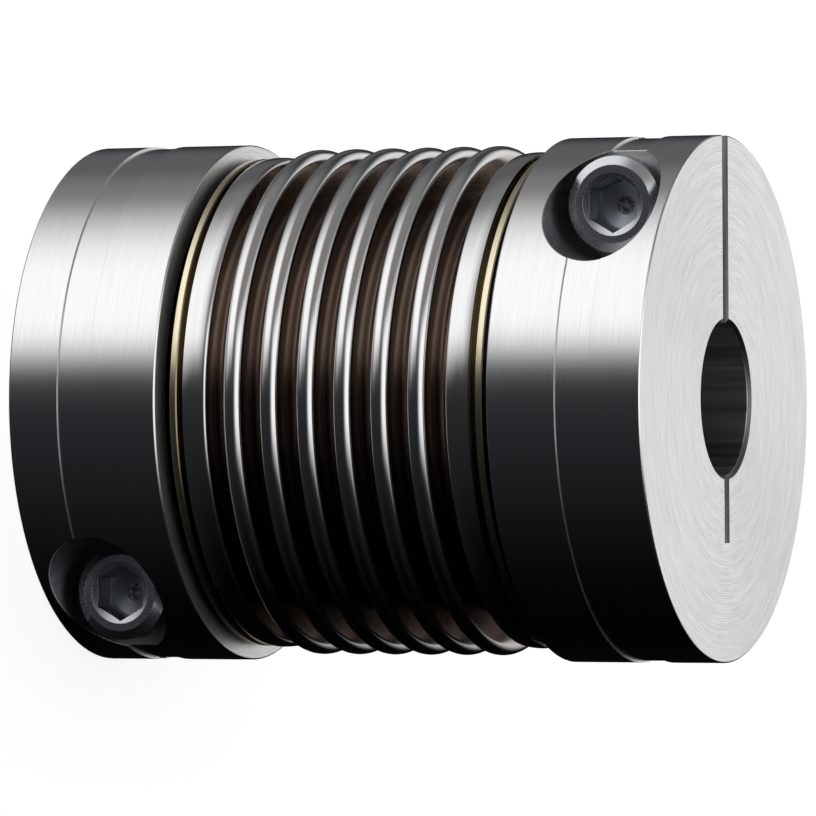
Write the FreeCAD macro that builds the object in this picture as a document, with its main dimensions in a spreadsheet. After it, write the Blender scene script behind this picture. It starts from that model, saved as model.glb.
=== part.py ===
import FreeCAD, Part
import Sketcher
import math
import os

# Bellows coupling for two shafts: two equal clamping hubs, a stainless bellows between them,
# a turned end ring that carries each end of the bellows, and one socket-head clamp screw per hub.
# Frame: +Z is the shaft axis, the outer face of the lower hub stands on z = 0, millimetres.
# The upper hub is the lower one turned half round about the Y axis, so both screw heads face -Y.

NODES = "parts"
os.makedirs(NODES, exist_ok=True)

doc = FreeCAD.newDocument("bellows_coupling")
sizes = doc.addObject("Spreadsheet::Sheet", "sizes")
sizes.Label = "sizes"

DRIVING = [
    # overall
    ("overall_length", 69.5),
    ("hub_diameter", 55.0),
    ("hub_length", 16.5),
    ("edge_chamfer", 0.15),
    # shallow turned band round each hub, measured from its outer face
    ("band_start", 5.5),
    ("band_width", 3.65),
    ("band_depth", 0.2),
    # bore for the shaft
    ("bore_diameter", 16.0),
    ("bore_chamfer", 0.4),
    ("bore_length", 27.0),
    # groove round the neck in the inner face, the stop of the ring, and the nose; every drop is a
    # radial step down from the hub's full radius
    ("face_relief_drop", 2.9),
    ("face_relief_depth", 1.0),
    ("ring_stop_height", 0.4),
    ("nose_clearance", 3.6),
    ("nose_chamfer", 0.6),
    # clamping slit and the relief slit opposite to it, and the web that closes both at the inner face
    ("slit_width", 1.9),
    ("slit_web", 1.6),
    ("relief_slit_width", 1.6),
    ("relief_slit_depth", 7.0),
    # clamp screw and its pocket
    ("screw_edge_distance", 7.5),
    ("screw_station", 7.1),
    ("screw_seat", 9.2),
    ("pocket_diameter", 12.0),
    ("thread_diameter", 6.0),
    ("shank_clearance", 0.3),
    ("thread_clearance", 0.05),
    ("screw_length", 25.0),
    ("screw_tip_chamfer", 0.7),
    ("head_diameter", 10.0),
    ("head_height", 6.0),
    ("head_chamfer_radial", 0.95),
    ("head_chamfer_axial", 0.68),
    ("socket_width", 5.2),
    ("socket_depth", 3.8),
    ("socket_mouth_diameter", 6.5),
    ("socket_mouth_depth", 1.9),
    ("socket_floor_margin", 0.15),
    ("drill_spot_diameter", 1.9),
    ("drill_spot_depth", 0.45),
    # end ring, measured from the inner face of the hub
    ("ring_flange_start", 1.0),
    ("ring_flange_width", 0.83),
    ("ring_flange_drop", 1.5),
    ("ring_flange_chamfer", 0.12),
    ("ring_groove_width", 0.67),
    ("ring_groove_drop", 3.4),
    ("ring_wall", 0.7),
    ("ring_seat_width", 1.7),
    ("bond_gap", 0.15),
    # bellows: waves fill the length between the two skirts
    ("bellows_wall", 0.4),
    ("skirt_drop", 1.4),
    ("skirt_length", 3.57),
    ("skirt_shoulder", 0.8),
    ("crest_drop", 0.65),
    ("wave_height", 4.85),
    ("crest_share", 0.532),
    ("crest_count", 6),
]

# Radii worked out from the hub's radius inwards.
HUB_RADIUS = "( hub_diameter / 2 )"
RELIEF_RADIUS = f"( {HUB_RADIUS} - face_relief_drop )"
FLANGE_RADIUS = f"( {HUB_RADIUS} - ring_flange_drop )"
GROOVE_RADIUS = f"( {HUB_RADIUS} - ring_groove_drop )"
NECK_RADIUS = f"( {GROOVE_RADIUS} - ring_wall )"
SKIRT_RADIUS = f"( {HUB_RADIUS} - skirt_drop )"
CREST_TOP = f"( {HUB_RADIUS} - crest_drop )"
ROOT_FLOOR = f"( {CREST_TOP} - wave_height )"
NOSE_RADIUS = f"( {ROOT_FLOOR} - bellows_wall - nose_clearance )"
SCREW_OFFSET = f"( {HUB_RADIUS} - screw_edge_distance )"

# Lengths along the axis: the slits, the reach from a hub's outer face to the skirt's edge, the waves.
SLIT_LENGTH = "( hub_length - slit_web )"
RING_REACH = "( hub_length + ring_flange_start + ring_flange_width + ring_groove_width )"
BELLOWS_LENGTH = f"( overall_length - 2 * {RING_REACH} )"
PITCH = f"( ( {BELLOWS_LENGTH} - 2 * skirt_length ) / crest_count )"
CREST_RADIUS = f"( crest_share * {PITCH} / 2 )"
ROOT_RADIUS = f"( {PITCH} / 2 - {CREST_RADIUS} )"
CREST_CENTRE = f"( {CREST_TOP} - {CREST_RADIUS} )"
ROOT_CENTRE = f"( {ROOT_FLOOR} + {ROOT_RADIUS} )"

# Chords in a quarter turn of the bellows wall, outside and inside.
OUTSIDE_CHORDS = 3
INSIDE_CHORDS = 2

for row, (alias, value) in enumerate(DRIVING, start=1):
    sizes.set(f"A{row}", alias)
    sizes.set(f"B{row}", str(value))
    sizes.setAlias(f"B{row}", alias)
doc.recompute()


def bound(expression):
    """Expression text with each size's name pointing at its cell in the sheet."""
    names = sorted((alias for alias, _ in DRIVING), key=len, reverse=True)
    words = expression.replace("(", " ( ").replace(")", " ) ").split()
    return " ".join(f"sizes.{word}" if word in names else word for word in words)


def value_of(expression):
    """Number that an expression gives with the sheet's present values."""
    return float(sizes.evalExpression(bound(expression)))


def origin_plane(body, role):
    """One of the body's own three origin planes."""
    return next(feature for feature in body.Origin.OriginFeatures if feature.Role == role)


def new_sketch(body, name, role, offset=None):
    """Sketch on an origin plane of the body, moved along the plane's normal by an expression."""
    sketch = body.newObject("Sketcher::SketchObject", name)
    sketch.AttachmentSupport = (origin_plane(body, role), [""])
    sketch.MapMode = "FlatFace"
    if offset:
        sketch.setExpression("AttachmentOffset.Base.z", bound(offset))
    doc.recompute()
    return sketch


def hold_point(sketch, geometry, point, across, up):
    """Tie one point of a sketch to its two coordinates, given as expressions."""
    for kind, axis, expression in (("DistanceX", -2, across), ("DistanceY", -1, up)):
        if expression == "0":
            sketch.addConstraint(Sketcher.Constraint("PointOnObject", geometry, point, axis))
            continue
        distance = value_of(expression)
        index = sketch.addConstraint(Sketcher.Constraint(kind, -1, 1, geometry, point, distance))
        sketch.setExpression(f"Constraints[{index}]", bound(expression))


def closed_profile(sketch, corners):
    """Closed outline through corners, each given as two expressions (across, up)."""
    count = len(corners)
    spots = [FreeCAD.Vector(value_of(across), value_of(up), 0) for across, up in corners]
    for number, start in enumerate(spots):
        sketch.addGeometry(Part.LineSegment(start, spots[(number + 1) % count]), False)
    for number, (across, up) in enumerate(corners):
        follower = (number + 1) % count
        sketch.addConstraint(Sketcher.Constraint("Coincident", number, 2, follower, 1))
        hold_point(sketch, number, 1, across, up)


def quarter(centre_across, centre_up, radius, first, last, chords):
    """Corners on a quarter turn about a centre, from the angle first to last in degrees."""
    corners = []
    for step in range(chords + 1):
        angle = math.radians(first + (last - first) * step / chords)
        across = f"{centre_across} + {math.cos(angle):.9f} * {radius}"
        up = f"{centre_up} + {math.sin(angle):.9f} * {radius}"
        corners.append((across, up))
    return corners


def circle_at(sketch, across, up, radius):
    """Full circle tied to its centre and radius expressions."""
    centre = FreeCAD.Vector(value_of(across), value_of(up), 0)
    ring = Part.Circle(centre, FreeCAD.Vector(0, 0, 1), value_of(radius))
    geometry = sketch.addGeometry(ring, False)
    hold_point(sketch, geometry, 3, across, up)
    index = sketch.addConstraint(Sketcher.Constraint("Radius", geometry, value_of(radius)))
    sketch.setExpression(f"Constraints[{index}]", bound(radius))


def turned(body, name, corners, cut=False):
    """Solid or groove of revolution about the body's Z axis from an outline in its XZ plane."""
    sketch = new_sketch(body, f"{name}_outline", "XZ_Plane")
    closed_profile(sketch, corners)
    before = body.Shape.Volume if cut else 0.0
    feature = body.newObject("PartDesign::Groove" if cut else "PartDesign::Revolution", name)
    feature.Profile = sketch
    feature.ReferenceAxis = (sketch, ["V_Axis"])
    feature.Angle = 360
    sketch.Visibility = False
    doc.recompute()
    check_cut(body, name, before, cut)
    return feature


def check_cut(body, name, before, cut=True):
    """Stop where a pocket or groove has taken nothing away."""
    if cut and not body.Shape.Volume < before:
        raise RuntimeError(f"{body.Label}: {name} removes no material")


def pocket(body, name, sketch, depth, along_normal):
    """Pocket of the sketch's outline to a depth expression, along or against the sketch's normal."""
    before = body.Shape.Volume
    feature = body.newObject("PartDesign::Pocket", name)
    feature.Profile = sketch
    feature.setExpression("Length", bound(depth))
    feature.Reversed = along_normal
    sketch.Visibility = False
    doc.recompute()
    check_cut(body, name, before)
    return feature


def rectangle(sketch, left, right, half_height):
    """Rectangle between two abscissas, even about the horizontal axis."""
    low = f"0 - {half_height}"
    closed_profile(sketch, [(left, low), (right, low), (right, half_height), (left, half_height)])


def new_body(name):
    body = doc.addObject("PartDesign::Body", name)
    body.Label = name
    return body


def turn_over(body):
    """Place a sub-part of the upper end: the lower one turned half round about Y."""
    body.Placement = FreeCAD.Placement(
        FreeCAD.Vector(0, 0, value_of("overall_length")),
        FreeCAD.Rotation(FreeCAD.Vector(0, 1, 0), 180))
    body.setExpression("Placement.Base.z", bound("overall_length"))


def hub_outline():
    """Half section of a hub from the bore outwards, with its outer face on z = 0."""
    neck_end = f"{RING_REACH} + ring_seat_width"
    outer = HUB_RADIUS
    band = f"{HUB_RADIUS} - band_depth"
    bore = "bore_diameter / 2"
    inner_face = "hub_length"
    return [
        (f"{bore} + bore_chamfer", "0"),
        (f"{outer} - edge_chamfer", "0"),
        (outer, "edge_chamfer"),
        (outer, "band_start"),
        (band, "band_start"),
        (band, "band_start + band_width"),
        (outer, "band_start + band_width"),
        (outer, f"{inner_face} - edge_chamfer"),
        (f"{outer} - edge_chamfer", inner_face),
        (RELIEF_RADIUS, inner_face),
        (RELIEF_RADIUS, f"{inner_face} - face_relief_depth"),
        (f"{NECK_RADIUS} + ring_stop_height", f"{inner_face} - face_relief_depth"),
        (f"{NECK_RADIUS} + ring_stop_height", f"{inner_face} + ring_flange_start"),
        (NECK_RADIUS, f"{inner_face} + ring_flange_start"),
        (NECK_RADIUS, neck_end),
        (NOSE_RADIUS, neck_end),
        (NOSE_RADIUS, "bore_length - nose_chamfer"),
        (f"{NOSE_RADIUS} - nose_chamfer", "bore_length"),
        (f"{bore} + bore_chamfer", "bore_length"),
        (bore, "bore_length - bore_chamfer"),
        (bore, "bore_chamfer"),
    ]


def build_hub(name):
    """Clamping hub: turned body, slit to the bore, relief slit opposite, pocket and holes for the screw."""
    body = new_body(name)
    turned(body, f"{name}_turning", hub_outline())

    slit = new_sketch(body, f"{name}_slit_outline", "XY_Plane")
    rectangle(slit, "0", f"{HUB_RADIUS} + edge_chamfer", "slit_width / 2")
    pocket(body, f"{name}_slit", slit, SLIT_LENGTH, True)

    relief = new_sketch(body, f"{name}_relief_outline", "XY_Plane")
    rectangle(relief, "0 - bore_diameter / 2 - relief_slit_depth", "0", "relief_slit_width / 2")
    pocket(body, f"{name}_relief_slit", relief, SLIT_LENGTH, True)

    head = new_sketch(body, f"{name}_pocket_outline", "XZ_Plane", "screw_seat")
    circle_at(head, SCREW_OFFSET, "screw_station", "pocket_diameter / 2")
    pocket(body, f"{name}_screw_pocket", head, HUB_RADIUS, True)

    shank = new_sketch(body, f"{name}_shank_outline", "XZ_Plane", "screw_seat")
    circle_at(shank, SCREW_OFFSET, "screw_station", "thread_diameter / 2 + shank_clearance")
    pocket(body, f"{name}_shank_hole", shank, "screw_seat", False)

    thread = new_sketch(body, f"{name}_thread_outline", "XZ_Plane")
    circle_at(thread, SCREW_OFFSET, "screw_station", "thread_diameter / 2 + thread_clearance")
    pocket(body, f"{name}_threaded_hole", thread, HUB_RADIUS, False)
    return body


def ring_outline():
    """Half section of an end ring: flange beside the hub, groove, and the seat of the bellows skirt."""
    flange_start = "hub_length + ring_flange_start"
    flange_end = f"{flange_start} + ring_flange_width"
    seat_start = f"{flange_end} + ring_groove_width"
    seat = f"{SKIRT_RADIUS} - bellows_wall - bond_gap"
    return [
        (NECK_RADIUS, flange_start),
        (f"{FLANGE_RADIUS} - ring_flange_chamfer", flange_start),
        (FLANGE_RADIUS, f"{flange_start} + ring_flange_chamfer"),
        (FLANGE_RADIUS, f"{flange_end} - ring_flange_chamfer"),
        (f"{FLANGE_RADIUS} - ring_flange_chamfer", flange_end),
        (GROOVE_RADIUS, flange_end),
        (GROOVE_RADIUS, seat_start),
        (seat, seat_start),
        (seat, f"{seat_start} + ring_seat_width"),
        (NECK_RADIUS, f"{seat_start} + ring_seat_width"),
    ]


def build_ring(name):
    """Turned end ring pressed on the hub's neck, against the stop."""
    body = new_body(name)
    turned(body, f"{name}_turning", ring_outline())
    return body


def hexagon(sketch, width):
    """Regular hexagon about the origin, its corners on the horizontal axis."""
    corner = f"{width} / 3 ^ 0.5"
    near = f"{width} / ( 2 * 3 ^ 0.5 )"
    flat = f"{width} / 2"
    closed_profile(sketch, [
        (corner, "0"),
        (near, flat),
        (f"0 - {near}", flat),
        (f"0 - {corner}", "0"),
        (f"0 - {near}", f"0 - {flat}"),
        (near, f"0 - {flat}"),
    ])


def build_screw(name):
    """Socket-head cap screw, head top on its own z = 0, shank along +Z."""
    body = new_body(name)
    shank = "thread_diameter / 2"
    tip = "head_height + screw_length"
    turned(body, f"{name}_turning", [
        ("0", "0"),
        ("head_diameter / 2 - head_chamfer_radial", "0"),
        ("head_diameter / 2", "head_chamfer_axial"),
        ("head_diameter / 2", "head_height"),
        (shank, "head_height"),
        (shank, f"{tip} - screw_tip_chamfer"),
        (f"{shank} - screw_tip_chamfer", tip),
        ("0", tip),
    ])

    socket = new_sketch(body, f"{name}_socket_outline", "XY_Plane")
    hexagon(socket, "socket_width")
    pocket(body, f"{name}_socket", socket, "socket_depth", True)

    turned(body, f"{name}_socket_mouth", [
        ("0", "0"),
        ("socket_mouth_diameter / 2", "0"),
        ("0", "socket_mouth_depth"),
    ], cut=True)
    turned(body, f"{name}_socket_floor", [
        ("0", "socket_depth"),
        ("socket_width / 2 - socket_floor_margin", "socket_depth"),
        ("drill_spot_diameter / 2", "socket_depth + drill_spot_depth"),
        ("0", "socket_depth + drill_spot_depth"),
    ], cut=True)
    return body


def seat_screw(body, upper):
    """Lay the screw along +Y with the underside of its head on the pocket's floor."""
    turn = FreeCAD.Rotation(FreeCAD.Vector(1, 0, 0), -90)
    across = f"0 - {SCREW_OFFSET}" if upper else SCREW_OFFSET
    station = "overall_length - screw_station" if upper else "screw_station"
    depth = "0 - screw_seat - head_height"
    spot = FreeCAD.Vector(value_of(across), value_of(depth), value_of(station))
    body.Placement = FreeCAD.Placement(spot, turn)
    for axis, expression in (("x", across), ("y", depth), ("z", station)):
        body.setExpression(f"Placement.Base.{axis}", bound(expression))


def wave_outline():
    """Wall section of the first wave: half root, flank, crest, flank, half root, and back inside."""
    low = "skirt_length"
    middle = f"( skirt_length + {PITCH} / 2 )"
    high = f"( skirt_length + {PITCH} )"
    outside, inside = CREST_RADIUS, f"( {CREST_RADIUS} - bellows_wall )"
    root_inside = f"( {ROOT_RADIUS} + bellows_wall )"
    return (
        quarter(ROOT_CENTRE, low, ROOT_RADIUS, 180, 90, OUTSIDE_CHORDS)
        + quarter(CREST_CENTRE, middle, outside, -90, 0, OUTSIDE_CHORDS)
        + quarter(CREST_CENTRE, middle, outside, 0, 90, OUTSIDE_CHORDS)[1:]
        + quarter(ROOT_CENTRE, high, ROOT_RADIUS, 270, 180, OUTSIDE_CHORDS)
        + quarter(ROOT_CENTRE, high, root_inside, 180, 270, INSIDE_CHORDS)
        + quarter(CREST_CENTRE, middle, inside, 90, 0, INSIDE_CHORDS)
        + quarter(CREST_CENTRE, middle, inside, 0, -90, INSIDE_CHORDS)[1:]
        + quarter(ROOT_CENTRE, low, root_inside, 90, 180, INSIDE_CHORDS)
    )


def skirt_outline(upper):
    """Wall section of an end skirt, from its free edge over the shoulder down to the first root.

    The bellows is drawn in its own frame, with z = 0 at the edge of its lower skirt.
    """
    skirt_end = f"( skirt_length - {ROOT_RADIUS} - skirt_shoulder )"
    shoulder = f"( {SKIRT_RADIUS} - skirt_shoulder )"
    shoulder_inside = "( skirt_shoulder - bellows_wall )"
    root_inside = f"( {ROOT_RADIUS} + bellows_wall )"
    corners = (
        [(SKIRT_RADIUS, "0")]
        + quarter(shoulder, skirt_end, "skirt_shoulder", 0, 90, OUTSIDE_CHORDS)
        + quarter(ROOT_CENTRE, "skirt_length", ROOT_RADIUS, 270, 180, OUTSIDE_CHORDS)
        + quarter(ROOT_CENTRE, "skirt_length", root_inside, 180, 270, INSIDE_CHORDS)
        + quarter(shoulder, skirt_end, shoulder_inside, 90, 0, INSIDE_CHORDS)
        + [(f"{SKIRT_RADIUS} - bellows_wall", "0")]
    )
    if upper:
        return [(across, f"{BELLOWS_LENGTH} - ( {up} )") for across, up in corners]
    return corners


def build_bellows():
    """Thin-walled bellows: waves repeated along the axis between two skirts."""
    body = new_body("bellows")
    wave = turned(body, "bellows_wave", wave_outline())
    row = body.newObject("PartDesign::LinearPattern", "bellows_waves")
    row.Originals = [wave]
    row.Direction = (origin_plane(body, "Z_Axis"), [""])
    row.setExpression("Length", bound(f"{PITCH} * ( crest_count - 1 )"))
    row.setExpression("Occurrences", bound("crest_count"))
    body.Tip = row
    doc.recompute()
    turned(body, "bellows_lower_skirt", skirt_outline(False))
    turned(body, "bellows_upper_skirt", skirt_outline(True))
    body.setExpression("Placement.Base.z", bound(RING_REACH))
    return body


subparts = [build_bellows()]
for end in ("lower", "upper"):
    hub = build_hub(f"{end}_hub")
    ring = build_ring(f"{end}_end_ring")
    screw = build_screw(f"{end}_clamp_screw")
    seat_screw(screw, end == "upper")
    if end == "upper":
        turn_over(hub)
        turn_over(ring)
    subparts += [hub, ring, screw]
doc.recompute()

for thing in doc.Objects:
    if "Invalid" in thing.State or "Error" in thing.State:
        raise RuntimeError(f"{thing.Name} failed: {thing.State}")
for subpart in subparts:
    shape = subpart.Shape
    if shape.isNull() or not shape.isValid() or len(shape.Solids) != 1:
        raise RuntimeError(f"{subpart.Label} is not one valid solid")
for subpart in subparts:
    subpart.Shape.exportStep(os.path.join(NODES, f"{subpart.Label}.step"))
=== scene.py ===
"""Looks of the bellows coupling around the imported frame. Metres; +Z is the shaft axis."""

import math
from types import SimpleNamespace

import bmesh
import bpy
from mathutils import Matrix, Vector


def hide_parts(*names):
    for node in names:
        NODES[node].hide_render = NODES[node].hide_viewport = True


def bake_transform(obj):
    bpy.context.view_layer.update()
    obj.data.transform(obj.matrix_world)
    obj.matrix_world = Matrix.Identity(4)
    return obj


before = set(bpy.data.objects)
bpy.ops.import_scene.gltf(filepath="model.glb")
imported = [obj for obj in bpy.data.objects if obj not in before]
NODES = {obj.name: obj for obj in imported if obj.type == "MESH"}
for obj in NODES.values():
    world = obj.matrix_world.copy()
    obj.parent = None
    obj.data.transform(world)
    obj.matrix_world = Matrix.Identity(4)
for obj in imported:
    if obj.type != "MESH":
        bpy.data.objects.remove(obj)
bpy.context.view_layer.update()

MM = 0.001

# Sizes of the hubs and their screws, in millimetres; places along a screw are places on Y
LENGTH = 69.5
HUB_LENGTH = 16.5
BORE_RADIUS = 8.0
BORE_RIM = 8.4
SLIT_HALF_WIDTH = 0.95
SCREW_OFFSET = 20.0
SCREW_STATION = 7.1
POCKET_RADIUS = 6.0
POCKET_FLOOR = -9.2
THREAD_RADIUS = 3.05
THREAD_PITCH = 1.0
THREAD_HEIGHT = 0.35

# Where finishes, painted highlights and painted shade end, in millimetres: close to the surfaces that they
# belong to
CUT_OUTSIDE = 27.2
# radii of the narrow turned part under the ring, where shade is painted
NECK_RADII = (19.0, 24.5)
INNER_DEPTH = 3.0
# band beside the slit on the outer end face where a highlight is painted
SLIT_HIGHLIGHT_BAND = (1.02, 1.14)
THREAD_FOOT = 2.9
HEAD_TOP = -15.22
MOUTH_RADIUS = 3.23
MOUTH_END = (-13.6, -13.2)
SPOT_RADIUS = 0.9
# the flange's back and the ring's groove, where shade is painted
FLANGE_BACK = LENGTH / 2 - HUB_LENGTH - 1.1
RING_GROOVE = (25.0, 25.7)
HUB_EDGE = 0.09
RING_EDGE = 0.03
SCREW_EDGE = 0.08

# Bellows, in millimetres; the crown is the gentle arch of a skirt, in degrees to each side
SKIRT_EDGE = 19.0
SKIRT_RADIUS = 26.1
SKIRT_LENGTH = 3.57
SHOULDER = 0.8
SHOULDER_TURN = 0.5
CROWN_ANGLE = 12.0
CREST_TOP = 26.85
ROOT_FLOOR = 22.0
WALL = 0.4
WAVES = 6
PITCH = 4.06
CREST_RADIUS = 1.08
ROOT_RADIUS = PITCH / 2 - CREST_RADIUS
WAVES_START = SKIRT_EDGE + SKIRT_LENGTH
VALLEY_TO_CREST = (CREST_TOP - 1.7, CREST_TOP - 0.4)
SKIRT_TONE_START = LENGTH / 2 - WAVES_START + ROOT_RADIUS
SKIRT_TONE = (SKIRT_TONE_START + 0.02, SKIRT_TONE_START + 0.15)

# Mesh of the bellows: steps round the axis, chords in a quarter turn, and the angle of a sharp edge
TURN_STEPS = 256
OUTSIDE_CHORDS = 7
INSIDE_CHORDS = 3
SHARP_ANGLE = math.radians(28)

# Camera: the upper hub's face centre seen from it (right, down, away), its angles and its lens
FACE_IN_VIEW = Vector((33.155, -0.939, 700.0)) * MM
ELEVATION = math.radians(21.162)
ROLL = math.radians(-0.396)
LENS = 296.56
SENSOR = 36.0

# Floor: half its width and its height in metres, its grey, and how much it glows for the camera
FLOOR_REACH = 6.0
FLOOR_LEVEL = -0.02 * MM
FLOOR_GREY = (0.4, 0.4, 0.4)
FLOOR_GLOW = 0.83

# Patterns: the part of a noise's range that shows, and the width of the edge of a mask in millimetres
CONTRAST = (0.3, 0.7)
STRONG_CONTRAST = (0.35, 0.65)
GRAIN_CONTRAST = (0.35, 0.68)
MARGIN = 0.03

# How squarely a surface faces along an axis: from not at all to fully, or along a wall, or sloping
SQUARE = (0.8, 0.95)
WALL_ALONG = (0.45, 0.3)
SLOPING = (0.1, 0.2)
NOT_FLAT = (0.95, 0.9)
BEVELLED = (0.3, 0.5)

# Colours of the hubs, as pairs between which a pattern changes, or as one
HUB_SIDE = ((0.775, 0.775, 0.79), (0.83, 0.83, 0.835))
HUB_FACE = ((0.62, 0.62, 0.63), (1.0, 1.0, 1.0))
HUB_SHADE = (0.7, 0.7, 0.71)
# painted highlight: a lighter line beside the slit on the end face
SLIT_EDGE_PAINTED_HIGHLIGHT = (0.97, 0.97, 0.97)
MILLED_WALL = ((0.26, 0.26, 0.27), (0.4, 0.4, 0.41))
POCKET_SEAT = (0.68, 0.68, 0.69)
BORE_WALL = ((0.22, 0.22, 0.22), (0.78, 0.78, 0.77))
BORE_CHAMFER = (0.16, 0.16, 0.16)
SAWN_WALL = ((0.3, 0.3, 0.31), (0.9, 0.9, 0.9))
# painted shade: the narrow part in the gap between the hub's inner face and the ring, near black
HUB_NECK_PAINTED_SHADE = (0.1, 0.1, 0.1)

# Colours of the bellows, the rings and the screws
BELLOWS_BRIGHT = ((0.73, 0.725, 0.73), (0.79, 0.785, 0.79))
# valleys: painted shade and a painted warm reflection, darker and browner than the crests
BELLOWS_VALLEY_PAINTED_SHADE = ((0.37, 0.31, 0.275), (0.47, 0.41, 0.375))
BRASS = ((0.76, 0.67, 0.47), (0.87, 0.8, 0.62))
# painted shade in the ring's groove, on its sloped edges and on its back towards the hub
BRASS_GROOVE_PAINTED_SHADE = (0.12, 0.08, 0.05)
BRASS_EDGE_PAINTED_SHADE = (0.22, 0.16, 0.07)
BRASS_BACK_PAINTED_SHADE = (0.08, 0.07, 0.05)
PLATED = ((0.66, 0.68, 0.72), (0.73, 0.75, 0.78))
# painted shade inside the socket, mottled by the grain
SOCKET_PAINTED_SHADE = ((0.31, 0.345, 0.38), (0.39, 0.43, 0.465))
SOCKET_MOUTH = (0.72, 0.74, 0.77)
# the torn spot at the socket's foot: its tearing and a painted shade
DRILL_SPOT_TORN_AND_SHADED = ((0.12, 0.13, 0.14), (0.6, 0.63, 0.66))

# Roughness, as pairs between which the tool lines or the grain change it, or as one
TURNED_ROUGH = (0.2, 0.15)
END_FACE_ROUGH = 0.3
INNER_FACE_ROUGH = 0.42
MILLED_ROUGH = (0.26, 0.38)
SEAT_ROUGH = 0.55
BORE_ROUGH = 0.38
SAWN_ROUGH = 0.6
CREST_ROUGH = (0.17, 0.12)
VALLEY_ROUGH = 0.19
BRASS_ROUGH = (0.26, 0.18)
PLATED_ROUGH = (0.2, 0.32)
SOCKET_ROUGH = 0.34
SPOT_ROUGH = 0.5

# Heights of the tool lines and the grain
MICRON = 1.0e-6
HUB_LINES = 1.2 * MICRON
INNER_FACE_LINES = 10 * MICRON
BELLOWS_LINES = 0.4 * MICRON
BRASS_LINES = 1.0 * MICRON
CUT_GRAIN = 6 * MICRON
SEAT_GRAIN = 30 * MICRON
PLATE_GRAIN = 1.6 * MICRON
SPOT_GRAIN = 40 * MICRON

# Tints of the studio's reflections
COOL = (0.92, 0.97, 1.1)
NEUTRAL = (1.0, 1.0, 1.0)
WARM = (1.1, 0.95, 0.88)


# Meshes

def lathe(name, profile):
    """Closed turned mesh about Z from a profile of (radius, height) in millimetres."""
    mesh = bpy.data.meshes.new(name)
    points, faces = [], []
    for step in range(TURN_STEPS):
        angle = 2 * math.pi * step / TURN_STEPS
        cosine, sine = math.cos(angle), math.sin(angle)
        points += [(radius * cosine * MM, radius * sine * MM, height * MM) for radius, height in profile]
    count = len(profile)
    for step in range(TURN_STEPS):
        here, there = step * count, (step + 1) % TURN_STEPS * count
        for k in range(count):
            after = (k + 1) % count
            faces.append((here + k, there + k, there + after, here + after))
    mesh.from_pydata(points, [], faces)
    mesh.update()
    smooth_normals(mesh)
    piece = bpy.data.objects.new(name, mesh)
    bpy.context.scene.collection.objects.link(piece)
    return piece


def smooth_normals(mesh):
    """Outward faces, smooth but for edges sharper than the sharp angle."""
    work = bmesh.new()
    work.from_mesh(mesh)
    bmesh.ops.recalc_face_normals(work, faces=work.faces)
    for edge in work.edges:
        edge.smooth = len(edge.link_faces) == 2 and edge.calc_face_angle(0) < SHARP_ANGLE
    for face in work.faces:
        face.smooth = True
    work.to_mesh(mesh)
    work.free()


def turn(across, up, radius, first, last, chords):
    """Points of a turn about a centre, from one angle to another in degrees."""
    points = []
    for step in range(chords + 1):
        angle = math.radians(first + (last - first) * step / chords)
        points.append((across + radius * math.cos(angle), up + radius * math.sin(angle)))
    return points


def skirt_outside(chords):
    """Lower skirt's outside from its edge over the crown and the shoulder.

    The crown is a wide gentle turn and the shoulder a tight one, tangent to each other.
    """
    angle = math.radians(CROWN_ANGLE)
    shoulder_width = SHOULDER_TURN * (1 - math.sin(angle))
    width = WAVES_START - ROOT_RADIUS - shoulder_width - SKIRT_EDGE
    crown = width / (2 * math.sin(angle))
    middle = SKIRT_EDGE + width / 2
    centre = SKIRT_RADIUS - crown
    across = centre + (crown - SHOULDER_TURN) * math.cos(angle)
    up = middle + (crown - SHOULDER_TURN) * math.sin(angle)
    points = turn(centre, middle, crown, -CROWN_ANGLE, CROWN_ANGLE, 2 * chords)
    return points + turn(across, up, SHOULDER_TURN, CROWN_ANGLE, 90, chords)[1:]


def skirt_inside(chords):
    """Lower skirt's inside: straight from its edge to the shoulder."""
    radius = SKIRT_RADIUS - WALL
    up = WAVES_START - ROOT_RADIUS - SHOULDER
    return [(radius, SKIRT_EDGE)] + turn(SKIRT_RADIUS - SHOULDER, up, SHOULDER - WALL, 0, 90, chords)


def waves(inset, chords):
    """Waves between the skirts, at a distance inside the outer surface."""
    crest, root = CREST_TOP - CREST_RADIUS, ROOT_FLOOR + ROOT_RADIUS
    wide, tight = ROOT_RADIUS + inset, CREST_RADIUS - inset
    points = turn(root, WAVES_START, wide, 270, 180, chords)
    for wave in range(WAVES):
        start = WAVES_START + wave * PITCH
        points += turn(root, start, wide, 180, 90, chords)[1:]
        points += turn(crest, start + PITCH / 2, tight, -90, 90, 2 * chords)
        points += turn(root, start + PITCH, wide, 270, 180, chords)
    return points + turn(root, WAVES_START + WAVES * PITCH, wide, 180, 90, chords)[1:]


def between_skirts(skirt, middle):
    """A skirt's line, the waves, and the skirt's line again turned end for end."""
    return skirt + middle + [(radius, LENGTH - height) for radius, height in reversed(skirt)]


def build_bellows():
    """Thin wall with its waves: the outside, and back along the inside."""
    outside = between_skirts(skirt_outside(OUTSIDE_CHORDS), waves(0.0, OUTSIDE_CHORDS))
    inside = between_skirts(skirt_inside(INSIDE_CHORDS), waves(WALL, INSIDE_CHORDS))
    return lathe("bellows_formed", outside + inside[::-1])


# Shader nodes; each helper works in a material or in the world

def shader(name, colour, metallic, roughness):
    """New material and its surface node."""
    material = bpy.data.materials.new(name)
    material.use_nodes = True
    surface = material.node_tree.nodes["Principled BSDF"]
    surface.inputs["Base Color"].default_value = (*colour, 1)
    surface.inputs["Metallic"].default_value = metallic
    surface.inputs["Roughness"].default_value = roughness
    return material, surface


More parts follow.
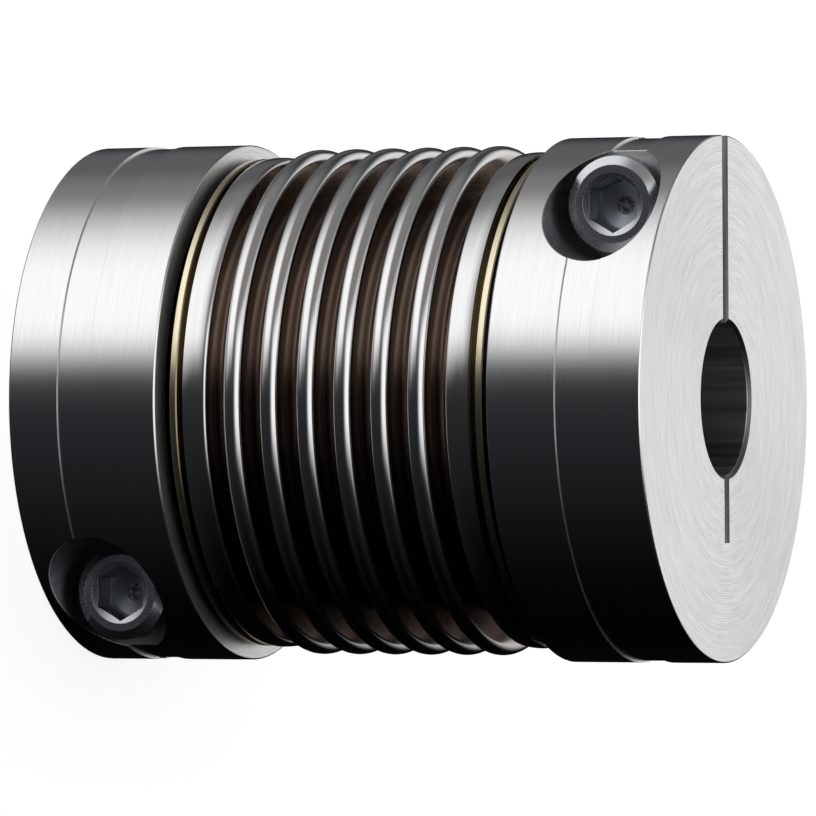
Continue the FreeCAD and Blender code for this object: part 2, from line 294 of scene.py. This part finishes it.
def node(material, kind, **settings):
    made = material.node_tree.nodes.new(kind)
    for name, value in settings.items():
        setattr(made, name, value)
    return made


def wire(material, source, target):
    material.node_tree.links.new(source, target)


def feed(material, socket, value):
    """Sets a socket to a number or a colour, or wires another node's output to it."""
    if isinstance(value, (int, float)):
        socket.default_value = value
    elif isinstance(value, tuple):
        socket.default_value = (*value, 1)
    else:
        wire(material, value, socket)


def math_node(material, operation, *values):
    made = node(material, "ShaderNodeMath", operation=operation)
    for slot, value in enumerate(values):
        feed(material, made.inputs[slot], value)
    return made.outputs[0]


def product(material, *factors):
    result = factors[0]
    for factor in factors[1:]:
        result = math_node(material, "MULTIPLY", result, factor)
    return result


def total(material, *terms):
    result = terms[0]
    for term in terms[1:]:
        result = math_node(material, "ADD", result, term)
    return result


def largest(material, *values):
    result = values[0]
    for value in values[1:]:
        result = math_node(material, "MAXIMUM", result, value)
    return result


def inverse(material, value):
    return math_node(material, "SUBTRACT", 1.0, value)


def magnitude(material, value):
    return math_node(material, "ABSOLUTE", value)


def ramp(material, value, low, high, to_low=0.0, to_high=1.0, smooth=False):
    """Value carried from one range to another and held at its ends."""
    made = node(material, "ShaderNodeMapRange", clamp=True)
    made.interpolation_type = "SMOOTHSTEP" if smooth else "LINEAR"
    for slot, number in (("From Min", low), ("From Max", high),
                         ("To Min", to_low), ("To Max", to_high)):
        made.inputs[slot].default_value = number
    wire(material, value, made.inputs["Value"])
    return made.outputs["Result"]


def ramp_mm(material, value, limits, to_low=0.0, to_high=1.0, smooth=False):
    """Ramp whose range is given by two limits in millimetres."""
    low, high = limits
    return ramp(material, value, low * MM, high * MM, to_low, to_high, smooth)


def mix(material, kind, factor, first, second):
    made = node(material, "ShaderNodeMix", data_type=kind)
    for slot, value in (("Factor", factor), ("A", first), ("B", second)):
        feed(material, next(s for s in made.inputs if s.name == slot and s.enabled), value)
    return next(s for s in made.outputs if s.enabled)


def blend_value(material, factor, first, second):
    return mix(material, "FLOAT", factor, first, second)


def blend_colour(material, factor, first, second):
    return mix(material, "RGBA", factor, first, second)


def mottled(material, pattern, colours, contrast=CONTRAST):
    """Colour that changes with a pattern between the two of a pair."""
    return blend_colour(material, ramp(material, pattern, *contrast), *colours)


def vector_of(material, *values):
    made = node(material, "ShaderNodeCombineXYZ")
    for slot, value in enumerate(values):
        feed(material, made.inputs[slot], value)
    return made.outputs[0]


def noise(material, vector, scale, detail=3.0, rough=0.65):
    """Noise between 0 and 1, its scale in waves per metre."""
    made = node(material, "ShaderNodeTexNoise")
    made.inputs["Scale"].default_value = scale
    made.inputs["Detail"].default_value = detail
    made.inputs["Roughness"].default_value = rough
    wire(material, vector, made.inputs["Vector"])
    return made.outputs["Fac"]


def shaded_point(material):
    """Where the shaded point lies: its place, its coordinates, and its radius and angle round the shaft."""
    place = node(material, "ShaderNodeTexCoord").outputs["Object"]
    parts = node(material, "ShaderNodeSeparateXYZ")
    wire(material, place, parts.inputs[0])
    x, y, z = parts.outputs
    above_middle = math_node(material, "SUBTRACT", z, LENGTH / 2 * MM)
    return SimpleNamespace(place=place, x=x, y=y, z=z, radius=length_of(material, x, y),
                           angle=math_node(material, "ARCTAN2", y, x), above_middle=above_middle,
                           from_middle=magnitude(material, above_middle))


def length_of(material, across, up):
    square = total(material, product(material, across, across), product(material, up, up))
    return math_node(material, "SQRT", square)


def facing(material, axis):
    """How squarely the surface faces along an axis, either way, from 0 to 1."""
    parts = node(material, "ShaderNodeSeparateXYZ")
    wire(material, node(material, "ShaderNodeTexCoord").outputs["Normal"], parts.inputs[0])
    return magnitude(material, parts.outputs["XYZ".index(axis)])


def over(material, value, size):
    """1 where a length is over a size in millimetres, and 0 up to that size."""
    return ramp_mm(material, value, (size + MARGIN, size + 2 * MARGIN))


def under(material, value, size):
    """1 where a length is under a size in millimetres or just at it, and 0 past that."""
    return inverse(material, over(material, value, size))


def turned_lines(material, point, spacing, drift=0.0006):
    """Fine tool lines that run round the axis, on cylinders and faces alike."""
    drifted = product(material, point.angle, drift)
    vector = vector_of(material, point.radius, point.z, drifted)
    return noise(material, vector, 1 / (spacing * MM), 3.0, 0.6)


def tangent_round(material, surface):
    """Turns the stretched highlights round the shaft axis."""
    made = node(material, "ShaderNodeTangent", direction_type="RADIAL", axis="Z")
    wire(material, made.outputs["Tangent"], surface.inputs["Tangent"])


def screw_thread(material, point):
    """Ridges of the clamp screws' threads, between 0 and 1, and the distance to the nearer screw's axis."""
    lower_across = math_node(material, "SUBTRACT", point.x, SCREW_OFFSET * MM)
    lower_up = math_node(material, "SUBTRACT", point.z, SCREW_STATION * MM)
    upper_across = math_node(material, "ADD", point.x, SCREW_OFFSET * MM)
    upper_up = math_node(material, "SUBTRACT", point.z, (LENGTH - SCREW_STATION) * MM)
    upper_half = math_node(material, "GREATER_THAN", point.above_middle, 0.0)
    across = blend_value(material, upper_half, lower_across, upper_across)
    up = blend_value(material, upper_half, lower_up, upper_up)
    turns = product(material, math_node(material, "ARCTAN2", up, across), 0.5 / math.pi)
    along = product(material, point.y, 1 / (THREAD_PITCH * MM))
    ridge = math_node(material, "PINGPONG", total(material, along, turns), 0.5)
    return product(material, ridge, 2.0), length_of(material, across, up)


def rounded_edges(material, radius):
    """Normal with the edges rounded by a radius in millimetres."""
    made = node(material, "ShaderNodeBevel", samples=4)
    made.inputs["Radius"].default_value = radius * MM
    return made.outputs["Normal"]


def relief(material, surface, height, normal=None):
    """Bump of a height in metres, over a base normal where one is given."""
    made = node(material, "ShaderNodeBump")
    made.inputs["Distance"].default_value = 1.0
    wire(material, height, made.inputs["Height"])
    if normal is not None:
        wire(material, normal, made.inputs["Normal"])
    wire(material, made.outputs["Normal"], surface.inputs["Normal"])


# Materials

def hub_masks(material, point, screw_distance):
    """Where each kind of surface of a hub is, from 0 to 1."""
    beside = magnitude(material, point.y)
    facing_y = facing(material, "Y")
    across_screw = ramp(material, facing_y, *SQUARE)
    end_face = ramp(material, facing(material, "Z"), *SQUARE)
    inner_end = under(material, point.from_middle, LENGTH / 2 - HUB_LENGTH + INNER_DEPTH)
    milled = product(material, under(material, screw_distance, POCKET_RADIUS),
                     under(material, point.radius, CUT_OUTSIDE))
    slit_side = math_node(material, "LESS_THAN", product(material, point.x, point.above_middle), 0.0)
    neck_inside, neck_outside = NECK_RADII
    return SimpleNamespace(
        end_face=end_face,
        inner_face=product(material, end_face, inner_end),
        # painted highlight: a lighter band beside the slit, on the outer end face and on the slit's side
        # only
        painted_slit_highlight=product(material, end_face, ramp_mm(material, beside, SLIT_HIGHLIGHT_BAND, 1.0, 0.0),
                     over(material, point.radius, BORE_RIM), slit_side, inverse(material, inner_end)),
        sawn=product(material, under(material, beside, SLIT_HALF_WIDTH), across_screw,
                     over(material, point.radius, BORE_RADIUS)),
        bore=product(material, under(material, point.radius, BORE_RIM), inverse(material, end_face)),
        chamfer=over(material, point.radius, BORE_RADIUS),
        hole=product(material, under(material, screw_distance, THREAD_RADIUS),
                     ramp(material, facing_y, *WALL_ALONG)),
        milled=milled,
        seat=product(material, milled, across_screw),
        # painted shade: the narrow part under the ring, in the gap between the parts
        painted_neck_shade=product(material, inner_end, over(material, point.radius, neck_inside),
                     under(material, point.radius, neck_outside)))


def hub_colour(material, point, masks, lines, broad):
    """Turned metal with rings on the end faces, and each cut in its own tone."""
    ring_spacing, ring_waver, ring_share, shade_share = 0.24 * MM, 3.0, 0.35, 0.12
    phase = total(material, product(material, broad, ring_waver),
                  product(material, point.radius, 2 * math.pi / ring_spacing))
    rings = product(material, math_node(material, "SINE", phase), ring_share)
    on_face = total(material, ramp(material, lines, *CONTRAST), rings)
    face = mottled(material, on_face, HUB_FACE, (-0.2, 1.2))
    # the painted highlight beside the slit lightens the end face
    face = blend_colour(material, masks.painted_slit_highlight, face, SLIT_EDGE_PAINTED_HIGHLIGHT)
    colour = blend_colour(material, masks.end_face, mottled(material, lines, HUB_SIDE), face)
    colour = blend_colour(material, ramp(material, broad, *CONTRAST, 0.0, shade_share), colour, HUB_SHADE)

    cutter_marks = noise(material, point.place, 900.0, 3.0, 0.6)
    cut = mottled(material, cutter_marks, MILLED_WALL, STRONG_CONTRAST)
    cut = blend_colour(material, masks.seat, cut, POCKET_SEAT)
    colour = blend_colour(material, masks.milled, colour, cut)

    round_bore = product(material, point.angle, BORE_RADIUS * MM)
    drawn = vector_of(material, round_bore, product(material, point.z, 0.03), 0.0)
    wall = mottled(material, noise(material, drawn, 330.0, 4.0, 0.7), BORE_WALL, STRONG_CONTRAST)
    wall = blend_colour(material, masks.chamfer, wall, BORE_CHAMFER)
    colour = blend_colour(material, masks.bore, colour, wall)

    strokes = vector_of(material, product(material, point.x, 0.03), 0.0, point.z)
    saw_marks = noise(material, strokes, 1300.0, 3.0, 0.7)
    colour = blend_colour(material, masks.sawn, colour,
                          mottled(material, saw_marks, SAWN_WALL, STRONG_CONTRAST))
    # painted shade darkens the narrow part under the ring nearly to black
    return blend_colour(material, masks.painted_neck_shade, colour, HUB_NECK_PAINTED_SHADE)


def hub_roughness(material, masks, lines, grain):
    """Shiny where turned, duller on the end faces and in the cuts."""
    rough = ramp(material, lines, *CONTRAST, *TURNED_ROUGH)
    for mask, level in ((masks.end_face, END_FACE_ROUGH),
                        (masks.inner_face, INNER_FACE_ROUGH),
                        (masks.milled, ramp(material, grain, *CONTRAST, *MILLED_ROUGH)),
                        (masks.seat, SEAT_ROUGH),
                        (masks.bore, BORE_ROUGH),
                        (masks.sawn, SAWN_ROUGH)):
        rough = blend_value(material, mask, rough, level)
    return rough


def hub_relief(material, masks, lines, grain, thread):
    """Height of the tool lines, the grain of the cuts and the thread, in metres."""
    return total(material,
                 product(material, lines, HUB_LINES),
                 product(material, lines, masks.inner_face, INNER_FACE_LINES),
                 product(material, grain, largest(material, masks.milled, masks.sawn), CUT_GRAIN),
                 product(material, grain, masks.seat, SEAT_GRAIN),
                 product(material, thread, masks.hole, THREAD_HEIGHT * MM))


def hub_material():
    """Turned hub with stretched highlights round its axis, and plain ones in its cuts."""
    material, surface = shader("turned_hub_metal", (0.83, 0.83, 0.84), 1.0, 0.2)
    point = shaded_point(material)
    thread, screw_distance = screw_thread(material, point)
    masks = hub_masks(material, point, screw_distance)
    lines = turned_lines(material, point, 0.13)
    broad = turned_lines(material, point, 1.1)
    grain = noise(material, point.place, 3500.0, 2.0, 0.6)
    wire(material, hub_colour(material, point, masks, lines, broad), surface.inputs["Base Color"])
    wire(material, hub_roughness(material, masks, lines, grain), surface.inputs["Roughness"])
    wire(material, blend_value(material, masks.sawn, 1.0, 0.45), surface.inputs["Metallic"])
    unturned = largest(material, masks.milled, masks.bore, masks.sawn, masks.inner_face)
    wire(material, blend_value(material, unturned, 0.5, 0.0), surface.inputs["Anisotropic"])
    tangent_round(material, surface)
    height = hub_relief(material, masks, lines, grain, thread)
    relief(material, surface, height, rounded_edges(material, HUB_EDGE))
    return material


def bellows_material():
    """Bright crests and skirts, and valleys with faint streaks, painted darker and browner as painted shade
    and a painted warm reflection.
    """
    material, surface = shader("formed_bellows_steel", (0.74, 0.73, 0.73), 1.0, 0.15)
    point = shaded_point(material)
    lines = turned_lines(material, point, 0.14)
    along_valley = vector_of(material, point.radius, point.z, product(material, point.angle, 0.004))
    streaks = noise(material, along_valley, 420.0, 3.0, 0.6)
    high = largest(material, ramp_mm(material, point.radius, VALLEY_TO_CREST, smooth=True),
                   ramp_mm(material, point.from_middle, SKIRT_TONE))
    # the valleys take the painted shade and painted warm reflection, the crests and skirts the bright steel
    colour = blend_colour(material, high, mottled(material, streaks, BELLOWS_VALLEY_PAINTED_SHADE),
                          mottled(material, lines, BELLOWS_BRIGHT))
    wire(material, colour, surface.inputs["Base Color"])
    crest_rough = ramp(material, lines, *CONTRAST, *CREST_ROUGH)
    wire(material, blend_value(material, high, VALLEY_ROUGH, crest_rough), surface.inputs["Roughness"])
    surface.inputs["Anisotropic"].default_value = 0.3
    tangent_round(material, surface)
    relief(material, surface, product(material, lines, BELLOWS_LINES))
    return material


def ring_material():
    """Turned brass with painted shade on its sloped edges, in its groove and on its back."""
    material, surface = shader("turned_ring_brass", (0.8, 0.72, 0.52), 1.0, 0.22)
    point = shaded_point(material)
    lines = turned_lines(material, point, 0.12)
    facing_z = facing(material, "Z")
    square = ramp(material, facing_z, *SQUARE)
    # painted shade: the groove, the sloped edges and the back towards the hub are darkened
    groove = ramp_mm(material, point.radius, RING_GROOVE, 0.75, 0.0)
    edge = product(material, ramp(material, facing_z, *BEVELLED), inverse(material, square), 0.85)
    back = product(material, over(material, point.from_middle, FLANGE_BACK), square)
    colour = mottled(material, lines, BRASS)
    for mask, tone in ((groove, BRASS_GROOVE_PAINTED_SHADE), (edge, BRASS_EDGE_PAINTED_SHADE), (back, BRASS_BACK_PAINTED_SHADE)):
        colour = blend_colour(material, mask, colour, tone)
    wire(material, colour, surface.inputs["Base Color"])
    wire(material, ramp(material, lines, *CONTRAST, *BRASS_ROUGH), surface.inputs["Roughness"])
    tangent_round(material, surface)
    relief(material, surface, product(material, lines, BRASS_LINES), rounded_edges(material, RING_EDGE))
    return material


def screw_masks(material, point, distance):
    """Where each kind of surface of a screw is, from 0 to 1."""
    facing_y = facing(material, "Y")
    head = under(material, point.y, POCKET_FLOOR)
    within = product(material, head, under(material, distance, MOUTH_RADIUS),
                     over(material, point.y, HEAD_TOP))
    deep = ramp_mm(material, point.y, MOUTH_END)
    mouth = product(material, within, inverse(material, deep), ramp(material, facing_y, *SLOPING),
                    ramp(material, facing_y, *NOT_FLAT))
    return SimpleNamespace(
        mouth=mouth,
        socket=product(material, within, inverse(material, mouth)),
        spot=product(material, within, deep, under(material, distance, SPOT_RADIUS)),
        shank=product(material, inverse(material, head), over(material, distance, THREAD_FOOT)))


def screw_material():
    """Bluish plate with a grain, a socket and the torn spot at its foot painted darker as painted shade,
    and a thread.
    """
    material, surface = shader("zinc_plated_screw", (0.6, 0.62, 0.65), 1.0, 0.24)
    point = shaded_point(material)
    thread, distance = screw_thread(material, point)
    masks = screw_masks(material, point, distance)
    rings = noise(material, vector_of(material, distance, point.y, 0.0), 5200.0)
    grain = noise(material, point.place, 5200.0)
    texture = blend_value(material, 0.45, rings, grain)
    torn = noise(material, point.place, 2600.0, 3.0, 0.7)
    colour = mottled(material, texture, PLATED, GRAIN_CONTRAST)
    # painted shade: the socket and the torn spot at its foot are darker than the plate
    for mask, tone in ((masks.socket, mottled(material, grain, SOCKET_PAINTED_SHADE, GRAIN_CONTRAST)),
                       (masks.mouth, SOCKET_MOUTH),
                       (masks.spot, mottled(material, torn, DRILL_SPOT_TORN_AND_SHADED, (0.42, 0.62)))):
        colour = blend_colour(material, mask, colour, tone)
    wire(material, colour, surface.inputs["Base Color"])
    rough = ramp(material, texture, *CONTRAST, *PLATED_ROUGH)
    rough = blend_value(material, masks.socket, rough, SOCKET_ROUGH)
    rough = blend_value(material, masks.spot, rough, SPOT_ROUGH)
    wire(material, rough, surface.inputs["Roughness"])

    ridges = product(material, thread, masks.shank, THREAD_HEIGHT * MM)
    pits = product(material, grain, blend_value(material, masks.spot, PLATE_GRAIN, SPOT_GRAIN))
    # the mouth's cone shades as if it faced more to the front than it does
    mouth_lean = product(material, masks.mouth, -1.3)
    leaned = node(material, "ShaderNodeVectorMath", operation="ADD")
    wire(material, rounded_edges(material, SCREW_EDGE), leaned.inputs[0])
    wire(material, vector_of(material, 0.0, mouth_lean, 0.0), leaned.inputs[1])
    normal = node(material, "ShaderNodeVectorMath", operation="NORMALIZE")
    wire(material, leaned.outputs[0], normal.inputs[0])
    relief(material, surface, total(material, ridges, pits), normal.outputs[0])
    return material


# Stage

def build_floor():
    """Plain pale floor that glows a little for the camera, so that it shows white around the shadow."""
    mesh = bpy.data.meshes.new("studio_floor")
    corners = ((-1, -1), (1, -1), (1, 1), (-1, 1))
    mesh.from_pydata([(x * FLOOR_REACH, y * FLOOR_REACH, FLOOR_LEVEL) for x, y in corners], [],
                     [(0, 1, 2, 3)])
    floor = bpy.data.objects.new("studio_floor", mesh)
    bpy.context.scene.collection.objects.link(floor)
    material = bpy.data.materials.new("pale_floor")
    material.use_nodes = True
    material.node_tree.nodes.clear()
    out = node(material, "ShaderNodeOutputMaterial")
    both = node(material, "ShaderNodeAddShader")
    matte = node(material, "ShaderNodeBsdfDiffuse")
    feed(material, matte.inputs["Color"], FLOOR_GREY)
    glow = node(material, "ShaderNodeEmission")
    seen = node(material, "ShaderNodeLightPath").outputs["Is Camera Ray"]
    wire(material, product(material, seen, FLOOR_GLOW), glow.inputs["Strength"])
    wire(material, matte.outputs[0], both.inputs[0])
    wire(material, glow.outputs[0], both.inputs[1])
    wire(material, both.outputs[0], out.inputs["Surface"])
    mesh.materials.append(material)
    floor.visible_glossy = False


def window(world, value, off, full, level=1.0, rest=0.0):
    """Soft edge of a light: its level where value is at full, its rest where value is at off."""
    return ramp(world, value, off, full, rest, level, smooth=True)


def soft_boxes(world, x, y, z):
    """Brightness of the studio in a direction: soft boxes with dark gaps between them.

    Each edge is given by the part of the direction where the light is off and where it is full.
    """
    # tall box on the -X side, from a little above the coupling's level down to its foot
    side_edge = math_node(world, "SUBTRACT", x, ramp(world, z, -0.36, -1.0, 0.0, 0.16))
    depth = math_node(world, "SUBTRACT", y, ramp(world, z, -0.4, -1.0, 0.0, 0.35))
    tall_box = product(world,
                       window(world, side_edge, -0.16, -0.54),
                       window(world, depth, 0.4, -0.5, level=1.2, rest=0.12),
                       window(world, z, 0.22, -0.3),
                       window(world, z, -1.0, -0.82, rest=0.3))
    # strip over the coupling, from before it to behind it
    far_edge = total(world, x, ramp(world, y, 0.0, 0.9, 0.0, 0.08))
    strip = product(world,
                    window(world, x, -0.72, -0.32),
                    window(world, far_edge, 0.5, 0.05),
                    window(world, y, -0.95, -0.6),
                    ramp(world, y, -0.2, 0.6, 1.2, 0.93),
                    window(world, z, 0.0, 0.25))
    # what the walls of the studio give back on the -X side and on the +X side
    near_wall = product(world,
                        window(world, x, -0.02, -0.75, level=0.22),
                        window(world, y, 0.8, 0.3, rest=0.15))
    far_wall = product(world,
                       ramp(world, x, 1.0, -0.1, 0.001, 0.032),
                       window(world, y, 0.5, -0.3, rest=0.1))
    return total(world, largest(world, tall_box, strip, near_wall), far_wall)


def build_world():
    """White for the camera, and the soft boxes for every other ray."""
    world = bpy.data.worlds.new("studio_light")
    bpy.context.scene.world = world
    world.use_nodes = True
    world.node_tree.nodes.clear()
    parts = node(world, "ShaderNodeSeparateXYZ")
    wire(world, node(world, "ShaderNodeTexCoord").outputs["Generated"], parts.inputs[0])
    x, y, z = parts.outputs
    level = soft_boxes(world, x, y, z)
    warm = product(world, ramp(world, level, 0.4, 0.2), window(world, z, 0.17, 0.4),
                   window(world, y, 0.2, -0.3), window(world, x, 0.0, -0.3))
    tint = blend_colour(world, ramp(world, level, 0.0, 0.15), COOL, NEUTRAL)
    tint = blend_colour(world, warm, tint, WARM)
    studio = node(world, "ShaderNodeBackground")
    wire(world, tint, studio.inputs["Color"])
    wire(world, level, studio.inputs["Strength"])
    white = node(world, "ShaderNodeBackground")
    feed(world, white.inputs["Color"], NEUTRAL)
    choose = node(world, "ShaderNodeMixShader")
    wire(world, node(world, "ShaderNodeLightPath").outputs["Is Camera Ray"], choose.inputs[0])
    wire(world, studio.outputs[0], choose.inputs[1])
    wire(world, white.outputs[0], choose.inputs[2])
    wire(world, choose.outputs[0], node(world, "ShaderNodeOutputWorld").inputs["Surface"])


def build_camera():
    """Camera at the photograph's place, from where it saw the upper hub's face."""
    axis = Vector((math.cos(ELEVATION) * math.cos(ROLL), math.cos(ELEVATION) * math.sin(ROLL),
                   -math.sin(ELEVATION)))
    up = Vector((0, -1, 0))
    up -= axis * axis.dot(up)
    x_axis = -up.normalized()
    y_axis = axis.cross(x_axis)
    to_model = Matrix((x_axis, y_axis, axis))
    place = to_model @ -FACE_IN_VIEW + Vector((0, 0, LENGTH * MM))
    data = bpy.data.cameras.new("photo_camera")
    data.lens, data.sensor_width = LENS, SENSOR
    camera = bpy.data.objects.new("photo_camera", data)
    camera.matrix_world = Matrix.Translation(place) @ (to_model @ Matrix.Diagonal((1, -1, -1))).to_4x4()
    bpy.context.scene.collection.objects.link(camera)
    bpy.context.scene.camera = camera


# The part

def dress(node_name, material):
    """A CAD node whose shape is right keeps its mesh and gets its finish."""
    piece = NODES[node_name]
    piece.material_slots[0].link = "OBJECT"
    piece.material_slots[0].material = material


build_camera()
build_world()
build_floor()

bellows = build_bellows()
bellows.data.materials.append(bellows_material())
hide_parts("bellows")
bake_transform(bellows)

hub_metal, ring_brass, screw_steel = hub_material(), ring_material(), screw_material()
for end in ("lower", "upper"):
    dress(f"{end}_hub", hub_metal)
    dress(f"{end}_end_ring", ring_brass)
    dress(f"{end}_clamp_screw", screw_steel)

bpy.context.scene.view_settings.view_transform = "Standard"
